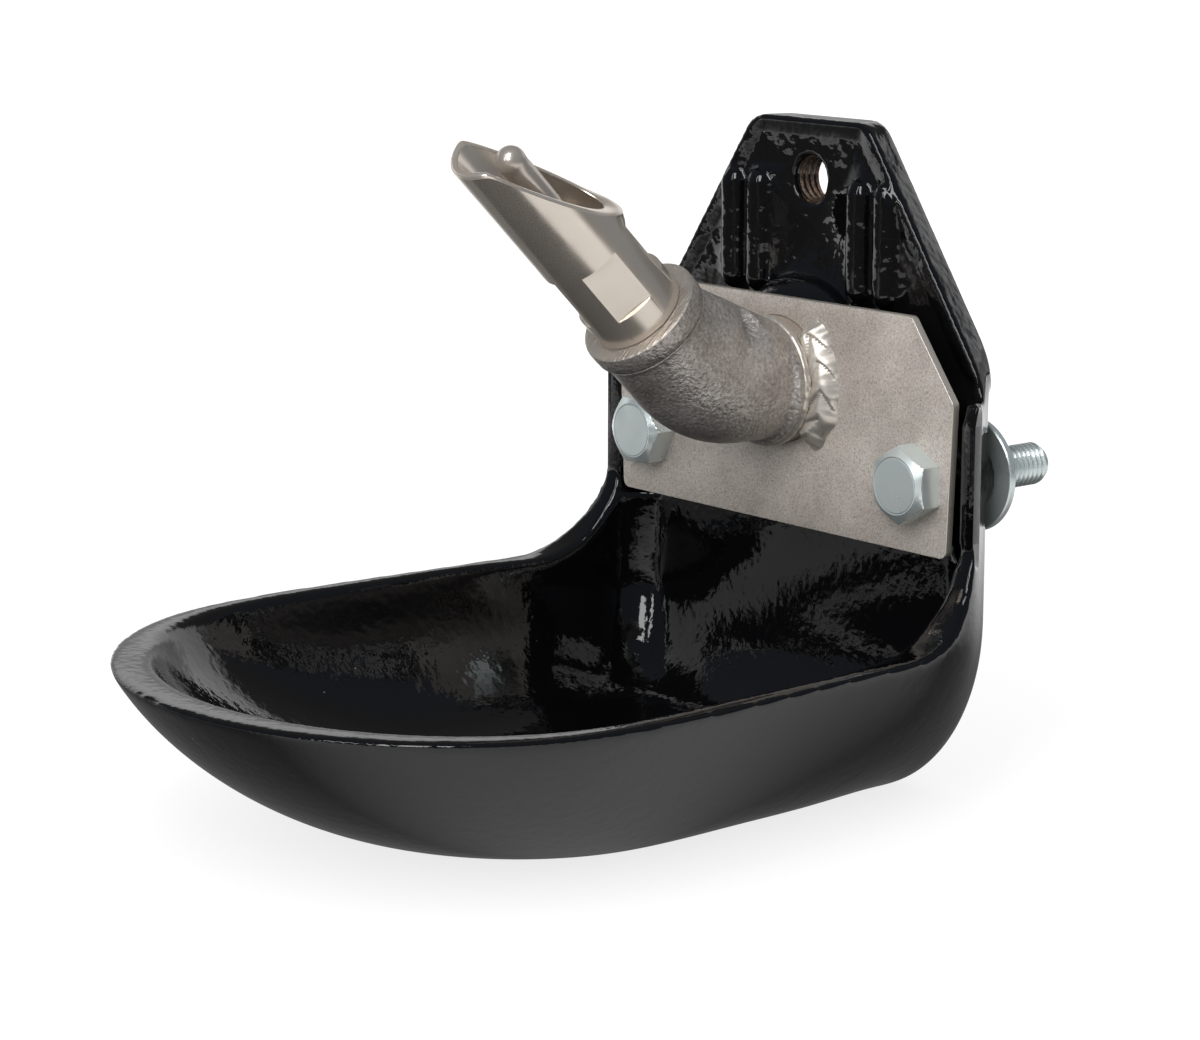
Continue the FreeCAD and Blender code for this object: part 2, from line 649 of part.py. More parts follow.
def bite_pin():
    """The pin with its ball end, closing flange and spring spigot."""
    seat = seal_plane()
    flange_back = seat - PIN_FLANGE_THICKNESS
    profile = [
        (flange_back - PIN_TAIL_LENGTH, 0),
        (flange_back - PIN_TAIL_LENGTH, PIN_TAIL_RADIUS),
        (flange_back, PIN_TAIL_RADIUS),
        (flange_back, PIN_FLANGE_RADIUS),
        (seat, PIN_FLANGE_RADIUS),
        (seat, PIN_RADIUS),
        (PIN_END, PIN_RADIUS),
        (PIN_END, 0),
    ]
    pin = turned(profile, valve_point(0), valve_direction())
    return pin.fuse(Part.makeSphere(PIN_BALL_RADIUS, valve_point(PIN_END)))


def seal_ring():
    """The rubber ring between the pin's flange and the web."""
    start = valve_point(seal_plane())
    end = valve_point(seal_plane() + SEAL_THICKNESS)
    return cylinder(SEAL_OUTER_RADIUS, start, end).cut(cylinder(SEAL_INNER_RADIUS, start, end))


def closing_spring():
    """The helical spring between carrier and flange, of six-sided wire."""
    start = CARRIER_FACE + SPRING_END_CLEARANCE + SPRING_WIRE_RADIUS
    end = seal_plane() - PIN_FLANGE_THICKNESS - SPRING_END_CLEARANCE - SPRING_WIRE_RADIUS
    helix = Part.makeHelix((end - start) / SPRING_TURNS, end - start, SPRING_COIL_RADIUS)
    corners = []
    for index in range(7):
        angle = math.radians(60.0 * index)
        x = SPRING_COIL_RADIUS + SPRING_WIRE_RADIUS * math.cos(angle)
        corners.append(Vector(x, 0, SPRING_WIRE_RADIUS * math.sin(angle)))
    spring = Part.Wire(helix).makePipeShell([Part.makePolygon(corners)], True, True)
    spring.Placement = FreeCAD.Placement(valve_point(start), FreeCAD.Rotation(UP, valve_direction()))
    return spring


def chamber_disc(start, thickness, radius, hole_radius, circles):
    """A disc across the valve's chamber with rings of round holes; a circle of 0 is one middle hole."""
    disc = Part.makeCylinder(radius, thickness)
    holes = []
    for circle, count in circles:
        for index in range(count):
            angle = 2 * math.pi * index / count
            centre = Vector(circle * math.cos(angle), circle * math.sin(angle), -1)
            holes.append(Part.makeCylinder(hole_radius, thickness + 2, centre))
    disc = disc.cut(holes)
    disc.Placement = FreeCAD.Placement(valve_point(start), FreeCAD.Rotation(UP, valve_direction()))
    return disc


def spring_carrier():
    """The perforated disc screwed into the shank; the spring stands on it."""
    start = CARRIER_FACE - CARRIER_THICKNESS
    radius = CHAMBER_RADIUS - CHAMBER_FIT
    return chamber_disc(start, CARRIER_THICKNESS, radius, CARRIER_HOLE_RADIUS, [(CARRIER_HOLE_CIRCLE, CARRIER_HOLES)])


def flow_disc():
    """The plastic disc whose middle hole sets the flow; it rests on the strainer."""
    start = strainer_start() + STRAINER_LENGTH
    return chamber_disc(start, FLOW_DISC_THICKNESS, CHAMBER_RADIUS - CHAMBER_FIT, FLOW_DISC_HOLE_RADIUS, [(0, 1)])


def strainer_start():
    """Where the strainer cup begins along the valve's axis."""
    return CARRIER_FACE - CARRIER_THICKNESS - FLOW_DISC_GAP - FLOW_DISC_THICKNESS - STRAINER_LENGTH


def inlet_strainer():
    """The plastic strainer cup at the shank's mouth."""
    radius = CHAMBER_RADIUS - CHAMBER_FIT
    holes = [(0, 1), (STRAINER_HOLE_CIRCLE, STRAINER_HOLES)]
    cap = chamber_disc(strainer_start(), STRAINER_WALL, radius, STRAINER_HOLE_RADIUS, holes)
    start = valve_point(strainer_start() + STRAINER_WALL)
    end = valve_point(strainer_start() + STRAINER_LENGTH)
    wall = cylinder(radius, start, end).cut(cylinder(radius - STRAINER_WALL, start, end))
    return cap.fuse(wall).removeSplitter()


def bolt_axis(side):
    """The point under the bolt's head on one side."""
    return Vector(side * BOLT_HALF_SPACING, PLATE_FRONT_Y, 0)


def bolt(side):
    """A hexagon head screw through plate and casting."""
    head = hexagon(HEX_ACROSS_FLATS, BOLT_HEAD_HEIGHT, bolt_axis(side), FORWARD, HEX_CHAMFER)
    shank = turned(
        [
            (0, 0),
            (0, BOLT_RADIUS),
            (BOLT_LENGTH - BOLT_END_CHAMFER, BOLT_RADIUS),
            (BOLT_LENGTH, BOLT_RADIUS - BOLT_END_CHAMFER),
            (BOLT_LENGTH, 0),
        ],
        bolt_axis(side),
        BACKWARD,
    )
    return head.fuse(shank).removeSplitter()


def washer(side):
    """The wide plain washer on the casting's back."""
    start = Vector(side * BOLT_HALF_SPACING, 0, 0)
    end = start + BACKWARD * WASHER_THICKNESS
    return cylinder(WASHER_RADIUS, start, end).cut(cylinder(WASHER_HOLE_RADIUS, start, end))


def nut(side):
    """The low hexagon nut behind the washer."""
    start = Vector(side * BOLT_HALF_SPACING, WASHER_THICKNESS, 0)
    block = hexagon(HEX_ACROSS_FLATS, NUT_HEIGHT, start, BACKWARD, HEX_CHAMFER)
    return block.cut(cylinder(NUT_BORE_RADIUS, start, start + BACKWARD * NUT_HEIGHT))


def build():
    os.makedirs("parts", exist_ok=True)
    save(bowl_casting(), "bowl_casting")
    save(mounting_plate(), "mounting_plate")
    save(inlet_socket(), "inlet_socket")
    save(elbow_bead(), "elbow_bead")
    save(pipe_elbow(), "pipe_elbow")
    save(valve_body(), "valve_body")
    save(bite_pin(), "bite_pin")
    save(seal_ring(), "seal_ring")
    save(closing_spring(), "closing_spring")
    save(spring_carrier(), "spring_carrier")
    save(flow_disc(), "flow_disc")
    save(inlet_strainer(), "inlet_strainer")
    for side, name in ((-1, "left"), (1, "right")):
        save(plate_weld(side), "plate_weld_" + name)
        save(bolt(side), "bolt_" + name)
        save(washer(side), "washer_" + name)
        save(nut(side), "nut_" + name)
    pivot = valve_point(seal_plane())
    print("pin pivot", round(pivot.x, 3), round(pivot.y, 3), round(pivot.z, 3))


build()
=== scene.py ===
"""The looks of a livestock drinking bowl: black enamelled cast iron with a stainless bite valve."""

import math

import bmesh
import bpy
from mathutils import Matrix, Vector, noise


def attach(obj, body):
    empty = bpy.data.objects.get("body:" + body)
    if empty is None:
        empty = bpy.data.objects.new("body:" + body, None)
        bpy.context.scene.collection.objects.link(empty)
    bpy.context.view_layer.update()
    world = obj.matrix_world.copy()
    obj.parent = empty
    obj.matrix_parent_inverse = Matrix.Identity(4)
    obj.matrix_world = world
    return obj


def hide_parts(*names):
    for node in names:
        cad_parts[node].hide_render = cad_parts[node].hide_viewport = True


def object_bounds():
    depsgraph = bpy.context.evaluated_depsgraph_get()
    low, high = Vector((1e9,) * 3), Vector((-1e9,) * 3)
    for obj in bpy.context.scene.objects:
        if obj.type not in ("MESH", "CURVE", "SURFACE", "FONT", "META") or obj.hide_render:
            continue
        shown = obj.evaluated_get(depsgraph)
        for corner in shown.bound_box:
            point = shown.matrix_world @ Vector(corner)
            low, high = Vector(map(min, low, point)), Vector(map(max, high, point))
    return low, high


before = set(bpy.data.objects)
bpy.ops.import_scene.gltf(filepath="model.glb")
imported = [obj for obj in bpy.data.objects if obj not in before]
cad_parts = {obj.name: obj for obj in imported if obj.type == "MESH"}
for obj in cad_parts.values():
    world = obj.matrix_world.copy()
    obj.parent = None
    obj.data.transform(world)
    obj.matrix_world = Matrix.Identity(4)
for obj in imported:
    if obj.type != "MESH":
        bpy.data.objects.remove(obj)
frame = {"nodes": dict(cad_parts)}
nodes = frame["nodes"]
cad_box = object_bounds()
MM = 0.001

# Sizes and places that several pieces share, in millimetres and degrees
FLANGE_FACE_Y = -7.9
FLANGE_TOP_Z = 79.5
HANGER_Z = 65.0
HANGER_RADIUS = 5.1
PLATE_FRONT_Y = -17.5
SCREW_X = 46.6
ACROSS_FLATS = 16.0
SOCKET_FRONT_Y = -21.7
SOCKET_Z = 18.2
SOCKET_RADIUS = 15.2
ELBOW_FACE = (0.0, -60.9404, 38.1404)
ELBOW_ANGLE = 45.0
VALVE_TURN = -26.5
VALVE_RADIUS = 11.3
VALVE_HEEL = 24.7
MOUTH_SLOPE = 2.03


# Camera and light

def photo_camera():
    """The photograph's view: a long lens from the front right, a little above the rim."""
    focal_length, picture_width = 3295.449, 1200
    turn, rise, roll = (math.radians(v) for v in (50.674, 11.612, 0.063))
    back = Vector((math.sin(turn) * math.cos(rise), -math.cos(turn) * math.cos(rise), math.sin(rise)))
    level = Vector((math.cos(turn), math.sin(turn), 0.0))
    upright = back.cross(level)
    right = math.cos(roll) * level + math.sin(roll) * upright
    up = math.cos(roll) * upright - math.sin(roll) * level
    data = bpy.data.cameras.new("photo_view")
    data.sensor_width = 36.0
    data.lens = focal_length / picture_width * 36.0
    data.clip_start = 0.01
    camera = bpy.data.objects.new("photo_view", data)
    bpy.context.scene.collection.objects.link(camera)
    place = Matrix((right, up, back)).transposed().to_4x4()
    place.translation = Vector((0.57218, -0.54074, 0.14293))
    camera.matrix_world = place
    bpy.context.scene.camera = camera


def softbox(name, place, target, width, height, power):
    """A white rectangular studio lamp that faces a point of the object."""
    data = bpy.data.lights.new(name, "AREA")
    data.shape = "RECTANGLE"
    data.size = width
    data.size_y = height
    data.energy = power
    lamp = bpy.data.objects.new(name, data)
    lamp.location = place
    lamp.rotation_euler = (Vector(target) - Vector(place)).to_track_quat("-Z", "Y").to_euler()
    bpy.context.scene.collection.objects.link(lamp)


# Materials

def linear(code):
    """An sRGB hex colour as linear values."""
    parts = [int(code[i:i + 2], 16) / 255 for i in (1, 3, 5)]
    return tuple(p / 12.92 if p <= 0.04045 else ((p + 0.055) / 1.055) ** 2.4 for p in parts) + (1.0,)


def set_stops(band, stops):
    """Give a colour ramp its stops, pairs of a position and a grey or hex colour."""
    while len(band.elements) < len(stops):
        band.elements.new(0.5)
    for element, (place, colour) in zip(band.elements, stops):
        element.position = place
        element.color = linear(colour) if isinstance(colour, str) else (colour, colour, colour, 1.0)


def add(tree, kind, settings=None, **links):
    """Add one node; links give its inputs, by name or _number, a socket or a value."""
    node = tree.nodes.new("ShaderNode" + kind)
    for key, value in (settings or {}).items():
        if key == "stops":
            set_stops(node.color_ramp, value)
        else:
            setattr(node, key, value)
    for key, value in links.items():
        socket = node.inputs[int(key[1:])] if key[0] == "_" else node.inputs[key.replace("_", " ")]
        if isinstance(value, bpy.types.NodeSocket):
            tree.links.new(value, socket)
        else:
            socket.default_value = value
    return node


def material(name):
    """An empty node material and its tree."""
    made = bpy.data.materials.new(name)
    made.use_nodes = True
    made.node_tree.nodes.clear()
    return made, made.node_tree


# Vitreous enamel fired on cast iron: a thick black glass skin that mirrors every light and edge. Its mirror
# is broken by orange peel of 2.4 mm, by waves of 9.5 mm that are strongest on the flange and by small pits,
# and pale dust lies on it here and there
def black_enamel():
    made, tree = material("black_vitreous_enamel")
    place = add(tree, "TexCoord").outputs["Object"]
    level = add(tree, "SeparateXYZ", Vector=place).outputs["Z"]
    strength = add(tree, "MapRange", Value=level, From_Min=0.015, From_Max=0.03, To_Min=0.12,
                   To_Max=0.62).outputs[0]
    waves = add(tree, "TexNoise", Vector=place, Scale=105.0, Detail=2.5, Roughness=0.5)
    peel = add(tree, "TexNoise", Vector=place, Scale=420.0, Detail=2.0, Roughness=0.5)
    pits = add(tree, "TexVoronoi", Vector=place, Scale=90.0)
    hollow = add(tree, "ValToRGB", {"stops": ((0.0, 0.0), (0.09, 1.0))},
                 Fac=pits.outputs["Distance"]).outputs[0]
    height = add(tree, "Math", {"operation": "MULTIPLY"}, _0=waves.outputs["Fac"], _1=strength).outputs[0]
    height = add(tree, "Math", {"operation": "MULTIPLY_ADD"}, _0=peel.outputs["Fac"], _1=0.08,
                 _2=height).outputs[0]
    height = add(tree, "Math", {"operation": "MULTIPLY_ADD"}, _0=hollow, _1=0.05, _2=height).outputs[0]
    bump = add(tree, "Bump", Strength=1.0, Distance=0.9 * MM, Height=height)
    smear = add(tree, "TexNoise", Vector=place, Scale=30.0, Detail=3.0)
    rough = add(tree, "ValToRGB", {"stops": ((0.3, 0.03), (0.75, 0.08))}, Fac=smear.outputs["Fac"]).outputs[0]
    specks = add(tree, "TexVoronoi", Vector=place, Scale=260.0)
    near = add(tree, "ValToRGB", {"stops": ((0.05, 1.0), (0.075, 0.0))},
               Fac=specks.outputs["Distance"]).outputs[0]
    few = add(tree, "ValToRGB", {"stops": ((0.86, 0.0), (0.9, 0.6))}, Fac=specks.outputs["Color"]).outputs[0]
    dust = add(tree, "Math", {"operation": "MULTIPLY"}, _0=near, _1=few).outputs[0]
    colour = add(tree, "Mix", {"data_type": "RGBA"}, _0=dust, _6=linear("#070708"),
                 _7=linear("#8d877d")).outputs[2]
    shader = add(tree, "BsdfPrincipled", Base_Color=colour, Roughness=rough, IOR=1.52,
                 Normal=bump.outputs["Normal"])
    add(tree, "OutputMaterial", Surface=shader.outputs[0])
    return made


# Stainless sheet, hot rolled and pickled: a matt, warm grey skin with faint cloudy stains. Its real speckle
# is finer than the picture can show, so it is drawn at 0.4 mm
def pickled_sheet():
    made, tree = material("pickled_stainless_sheet")
    place = add(tree, "TexCoord").outputs["Object"]
    speckle = add(tree, "TexNoise", Vector=place, Scale=2300.0, Detail=3.0, Roughness=0.75).outputs["Fac"]
    cloud = add(tree, "TexNoise", Vector=place, Scale=45.0, Detail=5.0, Roughness=0.6).outputs["Fac"]
    fine = add(tree, "ValToRGB", {"stops": ((0.3, "#978f89"), (0.47, "#d2ccc6"), (0.62, "#e2ddd7"),
                                            (0.78, "#f8f5f0"))}, Fac=speckle).outputs[0]
    broad = add(tree, "ValToRGB", {"stops": ((0.3, "#c9c4c0"), (0.7, "#f4f1ee"))}, Fac=cloud).outputs[0]
    colour = add(tree, "Mix", {"data_type": "RGBA", "blend_type": "MULTIPLY"}, _0=1.0, _6=fine,
                 _7=broad).outputs[2]
    rough = add(tree, "ValToRGB", {"stops": ((0.3, 0.52), (0.7, 0.38))}, Fac=speckle).outputs[0]
    bump = add(tree, "Bump", Strength=0.35, Distance=0.12 * MM, Height=speckle)
    shader = add(tree, "BsdfPrincipled", Base_Color=colour, Roughness=rough, Metallic=0.2,
                 Normal=bump.outputs["Normal"])
    add(tree, "OutputMaterial", Surface=shader.outputs[0])
    return made


# Investment-cast stainless, shot-blasted: a dull sandy skin with grit of 0.9 mm over lumps of 2.4 mm, darker
# in its hollows and stained in broad patches
def cast_stainless():
    made, tree = material("investment_cast_stainless")
    place = add(tree, "TexCoord").outputs["Object"]
    grit = add(tree, "TexNoise", Vector=place, Scale=1150.0, Detail=2.0, Roughness=0.6).outputs["Fac"]
    lumps = add(tree, "TexNoise", Vector=place, Scale=420.0, Detail=2.0, Roughness=0.5).outputs["Fac"]
    stain = add(tree, "TexNoise", Vector=place, Scale=70.0, Detail=4.0, Roughness=0.6).outputs["Fac"]
    height = add(tree, "Math", {"operation": "MULTIPLY_ADD"}, _0=lumps, _1=0.45, _2=grit).outputs[0]
    bump = add(tree, "Bump", Strength=1.0, Distance=0.38 * MM, Height=height)
    fine = add(tree, "ValToRGB", {"stops": ((0.3, "#b3aeaa"), (0.55, "#d7d2ce"), (0.75, "#f1eeeb"))},
               Fac=grit).outputs[0]
    broad = add(tree, "ValToRGB", {"stops": ((0.3, "#c6c1bd"), (0.7, "#f5f3f1"))}, Fac=stain).outputs[0]
    colour = add(tree, "Mix", {"data_type": "RGBA", "blend_type": "MULTIPLY"}, _0=1.0, _6=fine,
                 _7=broad).outputs[2]
    shader = add(tree, "BsdfPrincipled", Base_Color=colour, Roughness=0.33, Metallic=0.62,
                 Normal=bump.outputs["Normal"])
    add(tree, "OutputMaterial", Surface=shader.outputs[0])
    return made


def bright_steel(name, code, roughness, grain=900.0, depth=0.02):
    """A bright metal skin; its grain breaks reflections a little, and is drawn coarser than real, at 1 mm."""
    made, tree = material(name)
    place = add(tree, "TexCoord").outputs["Object"]
    grit = add(tree, "TexNoise", Vector=place, Scale=grain, Detail=3.0, Roughness=0.6).outputs["Fac"]
    smear = add(tree, "TexNoise", Vector=place, Scale=120.0, Detail=3.0).outputs["Fac"]
    bump = add(tree, "Bump", Strength=0.5, Distance=depth * MM, Height=grit)
    rough = add(tree, "ValToRGB", {"stops": ((0.3, roughness * 0.75), (0.7, roughness * 1.35))},
                Fac=smear).outputs[0]
    shader = add(tree, "BsdfPrincipled", Base_Color=linear(code), Roughness=rough, Metallic=0.72,
                 Normal=bump.outputs["Normal"])
    add(tree, "OutputMaterial", Surface=shader.outputs[0])
    return made


def moulded(name, code, roughness):
    """A moulded rubber or plastic; its faint grain is drawn coarser than real, at 1 mm."""
    made, tree = material(name)
    place = add(tree, "TexCoord").outputs["Object"]
    grain = add(tree, "TexNoise", Vector=place, Scale=900.0, Detail=2.0)
    bump = add(tree, "Bump", Strength=0.3, Distance=0.03 * MM, Height=grain.outputs["Fac"])
    shader = add(tree, "BsdfPrincipled", Base_Color=linear(code), Roughness=roughness,
                 Normal=bump.outputs["Normal"])
    add(tree, "OutputMaterial", Surface=shader.outputs[0])
    return made


# Cast iron where the tap cut through the enamel: dark brown from its first rust, with brighter crests
def rusty_iron():
    made, tree = material("tapped_bare_cast_iron")
    place = add(tree, "TexCoord").outputs["Object"]
    stain = add(tree, "TexNoise", Vector=place, Scale=900.0, Detail=4.0, Roughness=0.65).outputs["Fac"]
    colour = add(tree, "ValToRGB", {"stops": ((0.3, "#2c241f"), (0.5, "#57463a"), (0.75, "#8f7763"))},
                 Fac=stain).outputs[0]
    bump = add(tree, "Bump", Strength=0.6, Distance=0.1 * MM, Height=stain)
    shader = add(tree, "BsdfPrincipled", Base_Color=colour, Roughness=0.5, Metallic=0.7,
                 Normal=bump.outputs["Normal"])
    add(tree, "OutputMaterial", Surface=shader.outputs[0])
    return made


def turned_face(name, code, centre, roughness, depth, filed=False):
    """Stainless with lathe rings, drawn coarser than real at 0.4 mm, or file marks, over a satin polish."""
    made, tree = material(name)
    place = add(tree, "TexCoord").outputs["Object"]
    turned_to = add(tree, "Mapping", {"vector_type": "TEXTURE"}, Vector=place, Location=centre.translation,
                    Rotation=centre.to_euler()).outputs[0]
    if filed:
        slant = add(tree, "Mapping", Vector=turned_to, Rotation=(0.0, 0.0, math.radians(-28)),
                    Scale=(1500.0, 90.0, 90.0)).outputs[0]
        marks = add(tree, "TexNoise", Vector=slant, Scale=1.0, Detail=2.0, Roughness=0.6)
    else:
        parts = add(tree, "SeparateXYZ", Vector=turned_to).outputs
        across = add(tree, "CombineXYZ", X=parts["X"], Y=parts["Y"]).outputs[0]
        radius = add(tree, "VectorMath", {"operation": "LENGTH"}, _0=across).outputs["Value"]
        ring = add(tree, "CombineXYZ", X=radius, Z=parts["Z"]).outputs[0]
        marks = add(tree, "TexNoise", Vector=ring, Scale=2600.0, Detail=2.0, Roughness=0.6)
    grit = add(tree, "TexNoise", Vector=place, Scale=900.0, Detail=3.0, Roughness=0.6).outputs["Fac"]
    smear = add(tree, "TexNoise", Vector=place, Scale=110.0, Detail=3.0).outputs["Fac"]
    height = add(tree, "Math", {"operation": "MULTIPLY_ADD"}, _0=grit, _1=0.5,
                 _2=marks.outputs["Fac"]).outputs[0]
    bump = add(tree, "Bump", Strength=0.6, Distance=depth * MM, Height=height)
    rough = add(tree, "ValToRGB", {"stops": ((0.3, roughness * 0.8), (0.7, roughness * 1.3))},
                Fac=smear).outputs[0]
    shader = add(tree, "BsdfPrincipled", Base_Color=linear(code), Roughness=rough, Metallic=0.75,
                 Normal=bump.outputs["Normal"])
    add(tree, "OutputMaterial", Surface=shader.outputs[0])
    return made


# The studio

def paper_glow(tree, rays, floor_z):
    """How strongly the floor shines: white to the camera, and to glossy rays a lit table with an end, with
    the bowl's shadow and a lit patch on its right painted into the glow.
    """
    smooth = {"interpolation_type": "SMOOTHSTEP"}
    place = add(tree, "TexCoord").outputs["Object"]
    offset = add(tree, "VectorMath", {"operation": "SUBTRACT"}, _0=place, _1=(0.0, -0.07, floor_z)).outputs[0]
    away = add(tree, "VectorMath", {"operation": "LENGTH"}, _0=offset).outputs["Value"]
    forward, leftward, rightward = (
        add(tree, "VectorMath", {"operation": "DOT_PRODUCT"}, _0=offset, _1=way).outputs["Value"]
        for way in ((0.77, -0.63, 0.0), (-0.77, -0.63, 0.0), (0.95, -0.31, 0.0)))

    # The table's end, which is nearer behind the bowl
    behind = add(tree, "Math", {"operation": "MINIMUM"}, _0=forward, _1=0.0).outputs[0]
    reach = add(tree, "Math", {"operation": "MULTIPLY_ADD"}, _0=behind, _1=0.9, _2=away).outputs[0]
    table = add(tree, "MapRange", Value=reach, From_Min=0.575, From_Max=0.6, To_Min=1.1,
                To_Max=0.08).outputs[0]

    # Painted shadow: the bowl's shadow painted into the glow as a dark patch round it, which reaches farther
    # on the left, with painted light on the right
    left = add(tree, "Math", {"operation": "MAXIMUM"}, _0=leftward, _1=0.0).outputs[0]
    drawn = add(tree, "Math", {"operation": "MULTIPLY_ADD"}, _0=left, _1=-0.4, _2=away).outputs[0]
    far = add(tree, "MapRange", smooth, Value=drawn, From_Min=0.14, From_Max=0.4, To_Min=0.12,
              To_Max=1.0).outputs[0]
    front = add(tree, "MapRange", smooth, Value=rightward, From_Min=0.03, From_Max=0.1, To_Min=0.0,
                To_Max=0.85).outputs[0]
    shade = add(tree, "Math", {"operation": "MAXIMUM"}, _0=far, _1=front).outputs[0]
    # The table's glow as glossy rays see it, darkened by the painted shadow and raised by the painted light
    shine = add(tree, "Math", {"operation": "MULTIPLY"}, _0=shade, _1=table).outputs[0]

    plain = add(tree, "MapRange", Value=away, From_Min=0.25, From_Max=0.8, To_Min=0.8, To_Max=1.0).outputs[0]
    seen = add(tree, "Math", {"operation": "MULTIPLY"}, _0=rays["Is Camera Ray"], _1=plain).outputs[0]
    return add(tree, "Math", {"operation": "MULTIPLY_ADD"}, _0=rays["Is Glossy Ray"], _1=shine,
               _2=seen).outputs[0]


def paper_floor():
    """A wide floor of white paper that keeps the bowl's shadow."""
    floor_z = cad_box[0].z
    mesh = bmesh.new()
    bmesh.ops.create_grid(mesh, x_segments=1, y_segments=1, size=6.0)
    data = bpy.data.meshes.new("white_floor")
    mesh.to_mesh(data)
    mesh.free()
    data.transform(Matrix.Translation((0, 0, floor_z)))
    floor = bpy.data.objects.new("white_floor", data)
    bpy.context.scene.collection.objects.link(floor)
    made, tree = material("white_paper_floor")
    rays = add(tree, "LightPath").outputs
    # To glossy rays the paper is nearly black, so that in reflections the floor shows almost only its glow
    # with the painted shadow
    grey = add(tree, "Mix", {"data_type": "RGBA"}, _0=rays["Is Glossy Ray"], _6=(0.25, 0.25, 0.25, 1.0),
               _7=(0.02, 0.02, 0.02, 1.0)).outputs[2]
    paper = add(tree, "BsdfDiffuse", Color=grey)
    glow = add(tree, "Emission", Color=(1.0, 1.0, 1.0, 1.0), Strength=paper_glow(tree, rays, floor_z))
    both = add(tree, "AddShader", _0=paper.outputs[0], _1=glow.outputs[0])
    add(tree, "OutputMaterial", Surface=both.outputs[0])
    data.materials.append(made)


def studio_room():
    """An even white light; glossy rays meet a grey room with a lit backdrop behind the bowl."""
    world = bpy.data.worlds.new("studio_room")
    bpy.context.scene.world = world
    world.use_nodes = True
    tree = world.node_tree
    tree.nodes.clear()
    rays = add(tree, "LightPath").outputs
    way = add(tree, "TexCoord").outputs["Generated"]
    behind = add(tree, "VectorMath", {"operation": "DOT_PRODUCT"}, _0=way, _1=(-0.77, 0.63, 0.0))
    backdrop = add(tree, "ValToRGB", {"stops": ((0.35, 0.0), (0.6, 1.0))},
                   Fac=behind.outputs["Value"]).outputs[0]
    rise = add(tree, "SeparateXYZ", Vector=way).outputs["Z"]
    band = add(tree, "ValToRGB", {"stops": ((0.2, 0.45), (0.27, 1.0), (0.4, 1.0), (0.47, 0.1))},
               Fac=rise).outputs[0]
    room = add(tree, "Mix", {"data_type": "RGBA"}, _0=backdrop, _6=linear("#5c636d"), _7=band).outputs[2]
    white = (1.0, 1.0, 1.0, 1.0)
    even = add(tree, "Background", Color=white, Strength=0.85)
    mirrored = add(tree, "Background", Color=room, Strength=1.0)
    shown = add(tree, "Background", Color=white, Strength=1.0)
    lit = add(tree, "MixShader", Fac=rays["Is Glossy Ray"], _1=even.outputs[0], _2=mirrored.outputs[0])
    whole = add(tree, "MixShader", Fac=rays["Is Camera Ray"], _1=lit.outputs[0], _2=shown.outputs[0])
    add(tree, "OutputWorld", Surface=whole.outputs[0])


# Making pieces

def keep(mesh, name, body, made, nodes=(), sharp=35.0):
    """Turn a bmesh into a finished piece that rides on a body and stands for CAD nodes."""
    data = bpy.data.meshes.new(name)
    mesh.to_mesh(data)
    mesh.free()
    data.shade_smooth()
    data.set_sharp_from_angle(angle=math.radians(sharp))
    for skin in made if isinstance(made, tuple) else (made,):
        data.materials.append(skin)
    piece = bpy.data.objects.new(name, data)
    bpy.context.scene.collection.objects.link(piece)
    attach(piece, body)
    if nodes:
        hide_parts(*nodes)


def cad_copy(name):
    """A CAD node's facets, merged into one closed mesh."""
    mesh = bmesh.new()
    mesh.from_mesh(nodes[name].data)
    bmesh.ops.remove_doubles(mesh, verts=mesh.verts[:], dist=0.001 * MM)
    return mesh


def lathe(profile, segments=96, closed=False):
    """A shape turned about Z from (along, radius) points in millimetres."""
    mesh = bmesh.new()
    points = [mesh.verts.new((radius * MM, 0, along * MM)) for along, radius in profile]
    chain = points + points[:1] if closed else points
    edges = [mesh.edges.new(pair) for pair in zip(chain, chain[1:])]
    bmesh.ops.spin(mesh, geom=points + edges, cent=(0, 0, 0), axis=(0, 0, 1), angle=2 * math.pi,
                   steps=segments, use_merge=True)
    bmesh.ops.remove_doubles(mesh, verts=mesh.verts[:], dist=0.0005 * MM)
    return mesh


def placed(mesh, place):
    """Move a finished mesh to its place and turn its faces outwards."""
    mesh.transform(place)
    bmesh.ops.recalc_face_normals(mesh, faces=mesh.faces[:])
    return mesh


def along_y(x, y, z, sign=1):
    """The frame of a shape turned about an axis along Y; sign 1 runs towards the wall."""
    return Matrix.Translation((x * MM, y * MM, z * MM)) @ Matrix.Rotation(math.radians(-90 * sign), 4, "X")


def threaded(mesh, pitch, depth, low, high, reach, inner=False):
    """Cut a helical thread into the turned wall between two heights."""
    for vert in mesh.verts:
        radius = math.hypot(vert.co.x, vert.co.y) / MM
        along = vert.co.z / MM
        on_wall = radius < reach if inner else radius > reach
        if on_wall and radius > 0.1 and low < along < high:
            share = (along / pitch + math.atan2(vert.co.y, vert.co.x) / (2 * math.pi)) % 1.0
            cut = min(1.0, max(0.0, 1.5 * abs(2 * share - 1) - 0.25)) * depth
            cut = cut * min(1.0, (along - low) / pitch, (high - along) / pitch)
            scale = (radius + cut if inner else radius - cut) / radius
            vert.co.x *= scale
            vert.co.y *= scale


def rings(low, high, step):
    """Even heights between two limits, both included."""
    count = max(1, round((high - low) / step))
    return [low + (high - low) * index / count for index in range(count + 1)]


def six_sided(mesh, low, high):
    """Press a turned wall in to a hexagon between two heights, corner upwards."""
    half = ACROSS_FLATS / 2 * MM
    for vert in mesh.verts:
        if low * MM - 1e-7 < vert.co.z < high * MM + 1e-7:
            turn = math.atan2(vert.co.y, vert.co.x)
            off = (turn + math.radians(60)) % math.radians(60) - math.radians(30)
            radius = math.hypot(vert.co.x, vert.co.y)
            limit = half / math.cos(off)
            if radius > limit:
                vert.co.x *= limit / radius
                vert.co.y *= limit / radius


